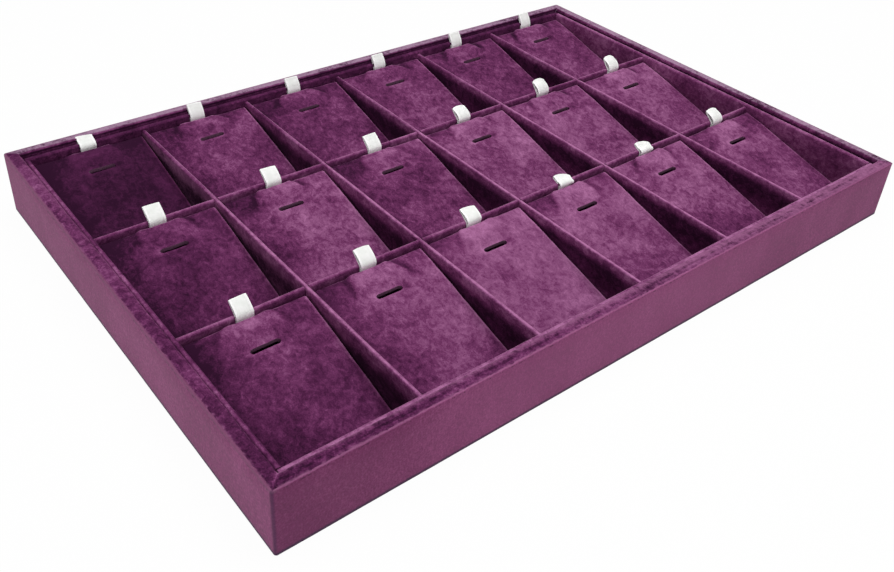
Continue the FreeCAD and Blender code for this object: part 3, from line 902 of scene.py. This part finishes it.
for unit in units:
    low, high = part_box(f"pad_{unit}")
    placed = bpy.data.objects.new(f"velvet_pad_{unit}", pad.data.copy())
    bpy.context.scene.collection.objects.link(placed)
    brushed = placed.data.attributes.new("brushed", "FLOAT", "POINT")
    crease = placed.data.attributes.new("crease", "FLOAT", "POINT")
    ruffled = placed.data.attributes.new("ruffled", "FLOAT", "POINT")
    foot = Vector(((low.x + high.x) / 2, low.y, low.z))
    nap_and_shading = {**usual_nap_and_shading, **pad_naps_and_shading[unit]}
    chance = random.Random(f"chain cuts of {unit}")
    cuts = {}
    for side in (-1, 1):
        start = CUT_START + chance.uniform(-CUT_START_STRAY, CUT_START_STRAY)
        end = CUT_END + chance.uniform(-CUT_END_STRAY, CUT_END_STRAY)
        long = CUT_LONG + chance.uniform(*CUT_LONG_STRAY)
        depth = chance.uniform(*CUT_DEPTHS) * nap_and_shading["ruffled"] * nap_and_shading["cuts"]
        cuts[side] = (start, end, long, depth)
    for vertex in placed.data.vertices:
        x, run, heading = pad_points[vertex.index % len(pad_points)]
        spot = vertex.co
        before_fold = rear_edge - run
        sunk, tongue = chain_cuts(x, before_fold, cuts)
        from_fold = before_fold / FLAP_LONG if before_fold > 0 else -before_fold / (FLAP_BEHIND * FLAP_LONG)
        beside_tab = within((abs(x) - FLAP_FROM) / FLAP_EASE)
        flap = beside_tab * max(0, 1 - from_fold)
        raised = TONGUE_RISE * tongue - CUT_DEEP * sunk - FLAP_SAG * flap * flap * (3 - 2 * flap)
        spot += Vector((0, -math.sin(heading), math.cos(heading))) * raised
        # Painted light on the raised tongue between the cuts.
        lie_and_shading = nap_and_shading["level"] + TONGUE_LIGHT * tongue
        # Painted shade by the rear corners, where the flaps sag.
        lie_and_shading += nap_and_shading["corners"][0 if x < 0 else 1] * beside_tab * max(0, 1 - abs(before_fold) / CORNER_LONG)
        # Painted shade towards the toe, deep in the well.
        lie_and_shading += nap_and_shading["toe"] * max(0, 1 - (run - ramp_start) / (TOE_SHARE * ramp_run))
        # Painted shade along the divider on the pad's left.
        lie_and_shading += nap_and_shading["left"] * max(0, 1 - (x + pad_width / 2) / BY_DIVIDER)
        # Painted highlight along the right edge, where the rolled edge turns away.
        lie_and_shading += EDGE_LIGHT * max(0, 1 - (pad_width / 2 - x) / (EDGE_LIGHT_WIDE * PAD_EDGE))
        brushed.data[vertex.index].value = lie_and_shading + slot_shading[vertex.index % len(pad_points)]
        ruffled.data[vertex.index].value = nap_and_shading["ruffled"]
        crease.data[vertex.index].value = sunk
        spot += foot
        if spot.y < high.y - FLAT_BY_FOLD:
            swell = PAD_UNEVEN * noise.noise(spot * PAD_WAVES)
            ripple = PAD_RIPPLE * noise.noise(spot * RIPPLE_WAVES)
            spot.z += swell + ripple
    dress(placed, pad_velvet)
    placed.data.materials.append(turned_velvet)
    for index in slot_walls:
        placed.data.polygons[index].material_index = 1
    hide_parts(f"pad_{unit}")
    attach(placed, f"pad_unit_{unit}")
bpy.data.objects.remove(pad)

# The ribbon tabs: a short white ribbon folded double and glued behind each pad, to lift it out by.
# It leans back over the board behind, more upright in the rear row, and no two lie quite alike.
RIBBON_THICK = 0.00028
RIBBON_FOLD = 0.0003
RIBBON_STEP = 0.0005
RIBBON_BEND = 0.003
RIBBON_DROP = 0.0013
RIBBON_BOW = 0.0003
RIBBON_TWIST = 0.05
RIBBON_SPREAD = 1.06
RIBBON_PUFF = 0.0003
ARCH_PUFF = 0.8
SHORT_TAB = 0.004
SHORT_ARCH_PUFF = 0.35
REAR_LEAN = 26
TAB_LEAN = 48
LEAN_STRAY = 6
REACH_STRAY = 0.0004
STRAY_WAVES = 37
RIB_PITCH = 0.0004
THREAD_PITCH = 0.0003
SELVEDGE = (0.0026, 0.0031)
SOFT_PATCH = 0.003
WEAVE_DEPTH = 0.00007

ribbon_material, place = new_material("white_ribbon")
ribs = place.painted("run").wave(RIB_PITCH)
threads = place.painted("across").wave(THREAD_PITCH)
selvedge = place.painted("across").size().rise(*SELVEDGE)
softness = place.noise(SOFT_PATCH, detail=3) * 0.7 + selvedge * 0.4 + ribs * 0.08
white = softness.ramp((0.2, srgb(236, 239, 234)), (0.6, srgb(255, 255, 254)))
weave = ribs * 0.5 + threads * 0.25 + selvedge * 1.2
surface(ribbon_material, white, {"Roughness": 0.6, "Sheen Weight": 0.2,
                                 "Normal": weave.bump(WEAVE_DEPTH, 0.7)})

usual_tab = {"reach": 0.0061, "arch": 0.0003, "turn": 0}
tabs = {"a1": {"lean": 56, "reach": 0.0042, "turn": 12},
        "a5": {"reach": 0.0066},
        "a6": {"reach": 0.007},
        "b4": {"arch": 0.0011},
        "b5": {"lean": 40, "reach": 0.007, "arch": 0.0014},
        "b6": {"lean": 44, "reach": 0.0072, "arch": 0.0014},
        "c2": {"arch": 0.0006},
        "c3": {"lean": 54, "reach": 0.005, "arch": 0.0006, "turn": 10},
        "c4": {"lean": 58, "reach": 0.0032, "arch": 0.0013, "turn": 18},
        "c5": {"lean": 58, "reach": 0.0032, "arch": 0.0013, "turn": 18},
        "c6": {"arch": 0.0012}}
for unit in units:
    low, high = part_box(f"ribbon_{unit}")
    width = (high.x - low.x) * RIBBON_SPREAD
    seed = Vector((low.x, low.y, 0)) * STRAY_WAVES
    tab = {"lean": REAR_LEAN if unit.startswith("a") else TAB_LEAN, **usual_tab, **tabs.get(unit, {})}
    lean = math.radians(tab["lean"] + LEAN_STRAY * noise.noise(seed))
    arch = tab["arch"]
    reach = tab["reach"] + REACH_STRAY * noise.noise(seed + Vector((9, 0, 0)))
    fold = RIBBON_FOLD * (1.3 + 0.5 * noise.noise(seed + Vector((0, 9, 0))))
    tail = divider_top - RIBBON_DROP - low.z
    runs = [(tail, 0), (RIBBON_BEND * lean, -lean), (reach, 0), (math.pi * fold, -math.pi), (reach, 0),
            ((RIBBON_BEND - 2 * fold) * lean, lean), (tail, 0)]
    whole = sum(length for length, turn in runs)
    ribbon = flat_sheet(f"ribbon_tab_{unit}", width, whole, RIBBON_STEP)
    run_layer = ribbon.data.attributes.new("run", "FLOAT", "POINT")
    across_layer = ribbon.data.attributes.new("across", "FLOAT", "POINT")
    turn = math.tan(math.radians(tab["turn"]))
    puff = RIBBON_PUFF + (ARCH_PUFF if reach > SHORT_TAB else SHORT_ARCH_PUFF) * arch
    twist = RIBBON_TWIST * noise.noise(seed + Vector((0, 0, 9)))
    for vertex in ribbon.data.vertices:
        x, run = vertex.co.x, vertex.co.y
        run_layer.data[vertex.index].value = run
        across_layer.data[vertex.index].value = x
        at, heading = along(runs, math.pi / 2, run)
        to_side = abs(x) / width * 2
        out = max(0, at.y - tail) / reach
        bow = RIBBON_BOW * to_side ** 2 + twist * out * reach * x / width * 4 - turn * x * min(1, out)
        sag = arch * to_side ** 2.5 * min(1, out)
        puffed = puff * math.sin(math.pi * min(1, out)) if run < whole / 2 else 0
        back = at.x + RIBBON_THICK + bow - sag * math.sin(lean) - puffed * math.sin(heading)
        up = at.y - sag * math.cos(lean) + puffed * math.cos(heading)
        vertex.co = Vector((x + (low.x + high.x) / 2, low.y + back, low.z + up))
    work_on(ribbon)
    thicken = ribbon.modifiers.new("thickness", "SOLIDIFY")
    thicken.thickness = RIBBON_THICK
    thicken.offset = 0
    bpy.ops.object.modifier_apply(modifier=thicken.name)
    smooth(ribbon, 60)
    dress(ribbon, ribbon_material)
    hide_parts(f"ribbon_{unit}")
    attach(ribbon, f"pad_unit_{unit}")

# The studio: a pale floor that fades to white, a wide soft lamp overhead and two low weak ones outside
# the tray, which brighten its outer faces and graze the tops of the dividers.
FLOOR_SIZE = 6.0
FLOOR_GAP = 0.0002
FLOOR_WHITE = 0.97
AMBIENT = 0.28

floor_material = bpy.data.materials.new("studio_floor")
floor_material.use_nodes = True
floor_material.node_tree.nodes.clear()
any_value = Value(floor_material.node_tree)


def seen_rays(any_value):
    """1 for the rays that see a background straight, in a reflection or through glass."""
    camera = any_value.node("ShaderNodeLightPath", output="Is Camera Ray")
    glossy = any_value.node("ShaderNodeLightPath", output="Is Glossy Ray")
    clear = any_value.node("ShaderNodeLightPath", output="Is Transmission Ray")
    return camera.most(glossy).most(clear)


matte = any_value.node("ShaderNodeBsdfDiffuse", None, {"Color": srgb(236, 236, 236)})
glow = any_value.node("ShaderNodeEmission", None, {"Color": (1, 1, 1, 1), "Strength": 1.0})
seen = seen_rays(any_value) * FLOOR_WHITE
mixed = any_value.node("ShaderNodeMixShader", None, {0: seen, 1: matte, 2: glow})
output = floor_material.node_tree.nodes.new("ShaderNodeOutputMaterial")
floor_material.node_tree.links.new(mixed.socket, output.inputs["Surface"])
bpy.ops.object.select_all(action="DESELECT")
bpy.ops.mesh.primitive_plane_add(size=FLOOR_SIZE, location=(0, 0, -FLOOR_GAP))
floor = bpy.context.active_object
floor.name = "studio_floor"
dress(floor, floor_material)

world = bpy.data.worlds.new("white_studio")
bpy.context.scene.world = world
world.use_nodes = True
world.node_tree.nodes.clear()
any_value = Value(world.node_tree)
strength = AMBIENT + seen_rays(any_value) * (1 - AMBIENT)
sky = any_value.node("ShaderNodeBackground", None, {"Color": (1, 1, 1, 1), "Strength": strength})
output = world.node_tree.nodes.new("ShaderNodeOutputWorld")
world.node_tree.links.new(sky.socket, output.inputs["Surface"])


def soft_lamp(name, place, aim, size, power):
    lamp = bpy.data.lights.new(name, "AREA")
    lamp.shape = "DISK"
    lamp.size = size
    lamp.energy = power
    holder = bpy.data.objects.new(name, lamp)
    holder.location = place
    holder.rotation_euler = (Vector(aim) - Vector(place)).to_track_quat("-Z", "Y").to_euler()
    bpy.context.scene.collection.objects.link(holder)


soft_lamp("overhead_lamp", place=(0.05, -0.1, 1.0), aim=(0, 0, 0), size=0.9, power=9.0)
soft_lamp("left_lamp", place=(-1.2, -0.1, 0.13), aim=(0, 0, 0.02), size=0.2, power=2.5)
soft_lamp("front_lamp", place=(0.1, -1.2, 0.15), aim=(0, 0, 0.02), size=0.2, power=1.0)

# The camera: the photograph's own view, from above the near left corner, with a slight tilt. The small
# shift of the frame stands for the crop that the picture was given.
VIEW_AZIMUTH = -40.65
VIEW_ELEVATION = 33.575
VIEW_ROLL = 3.77
VIEW_DISTANCE = 0.4769
VIEW_AIM = Vector((-0.007, 0.0035, 0))
FOCAL_PIXELS = 973.4
PHOTO_WIDTH = 894
VIEW_SHIFT = -0.0828
SENSOR = 36.0
NEAR_CLIP = 0.01

azimuth, elevation = math.radians(VIEW_AZIMUTH), math.radians(VIEW_ELEVATION)
back = Vector((math.sin(azimuth) * math.cos(elevation), -math.cos(azimuth) * math.cos(elevation),
               math.sin(elevation)))
lens = bpy.data.cameras.new("photo_camera")
lens.sensor_width = SENSOR
lens.lens = SENSOR * FOCAL_PIXELS / PHOTO_WIDTH
lens.shift_y = VIEW_SHIFT
lens.clip_start = NEAR_CLIP
camera = bpy.data.objects.new("photo_camera", lens)
camera.location = VIEW_AIM + back * VIEW_DISTANCE
tilt = Quaternion((0, 0, 1), math.radians(VIEW_ROLL))
camera.rotation_euler = ((-back).to_track_quat("-Z", "Y") @ tilt).to_euler()
bpy.context.scene.collection.objects.link(camera)
bpy.context.scene.camera = camera
bpy.context.scene.view_settings.view_transform = "Standard"
